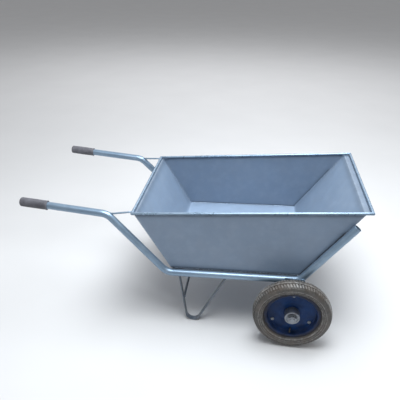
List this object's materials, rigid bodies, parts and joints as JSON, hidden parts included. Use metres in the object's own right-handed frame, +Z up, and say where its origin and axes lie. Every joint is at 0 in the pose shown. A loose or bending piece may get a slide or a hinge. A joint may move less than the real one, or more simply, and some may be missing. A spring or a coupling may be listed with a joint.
{
  "type": "wheelbarrow",
  "caption": "Two-wheeled wheelbarrow: a deep folded sheet-steel tray on a bent tube frame, with V-shaped legs, rubber grips and air-filled tyres.",
  "frame": {"origin": "centre of the bounding box on the ground", "axes": "+X forward along the barrow's length, from the grips to the front of the tray; +Y to its left; +Z up"},
  "size_m": [1.5674, 0.9412, 0.6771],
  "materials": {
    "tray_paint": "satin blue-grey paint, scuffed inside",
    "frame_paint": "satin blue-grey paint on tube and bar",
    "rim_paint": "blue-grey paint, worn bright on top",
    "wheel_paint": "dark blue gloss paint",
    "tyre_rubber": "dusty worn black-brown rubber",
    "grip_rubber": "matt dark grey rubber",
    "bare_steel": "dull zinc-plated steel",
    "butyl_rubber": "plain black rubber"
  },
  "bodies": {
    "root": {"tray_pan": "tray_paint", "tray_side_right": "tray_paint", "tray_side_left": "tray_paint", "rim_rod_rear": "rim_paint", "rim_rod_front": "rim_paint", "rim_rod_right": "rim_paint", "rim_rod_left": "rim_paint", "side_tube_right": "frame_paint", "side_tube_left": "frame_paint", "rear_cross_tube": "frame_paint", "middle_cross_tube": "frame_paint", "corner_stay_right": "frame_paint", "corner_stay_left": "frame_paint", "leg_right": "frame_paint", "leg_left": "frame_paint", "leg_brace": "frame_paint", "grip_right": "grip_rubber", "grip_left": "grip_rubber", "axle_plate_right": "frame_paint", "axle_plate_left": "frame_paint", "axle": "bare_steel", "axle_spacer_right": "bare_steel", "axle_spacer_left": "bare_steel", "axle_washer_right": "bare_steel", "axle_washer_left": "bare_steel", "axle_nut_right": "bare_steel", "axle_nut_left": "bare_steel"},
    "wheel_right": {"hub_right": "bare_steel", "bearing_inner_right": "bare_steel", "bearing_outer_right": "bare_steel", "rim_outer_right": "wheel_paint", "rim_inner_right": "wheel_paint", "rim_bolt_right_1": "bare_steel", "rim_bolt_right_2": "bare_steel", "rim_bolt_right_3": "bare_steel", "rim_nut_right_1": "bare_steel", "rim_nut_right_2": "bare_steel", "rim_nut_right_3": "bare_steel", "tyre_right": "tyre_rubber", "inner_tube_right": "butyl_rubber", "valve_stem_right": "butyl_rubber"},
    "wheel_left": {"hub_left": "bare_steel", "bearing_inner_left": "bare_steel", "bearing_outer_left": "bare_steel", "rim_outer_left": "wheel_paint", "rim_inner_left": "wheel_paint", "rim_bolt_left_1": "bare_steel", "rim_bolt_left_2": "bare_steel", "rim_bolt_left_3": "bare_steel", "rim_nut_left_1": "bare_steel", "rim_nut_left_2": "bare_steel", "rim_nut_left_3": "bare_steel", "tyre_left": "tyre_rubber", "inner_tube_left": "butyl_rubber", "valve_stem_left": "butyl_rubber"}
  },
  "joints": [
    {"name": "wheel_right_spin", "type": "hinge", "parent": "root", "child": "wheel_right", "pos_m": [0.49072, -0.4198, 0.178], "axis": [0, 1, 0], "continuous": true},
    {"name": "wheel_left_spin", "type": "hinge", "parent": "root", "child": "wheel_left", "pos_m": [0.49072, 0.4198, 0.178], "axis": [0, 1, 0], "continuous": true}
  ]
}
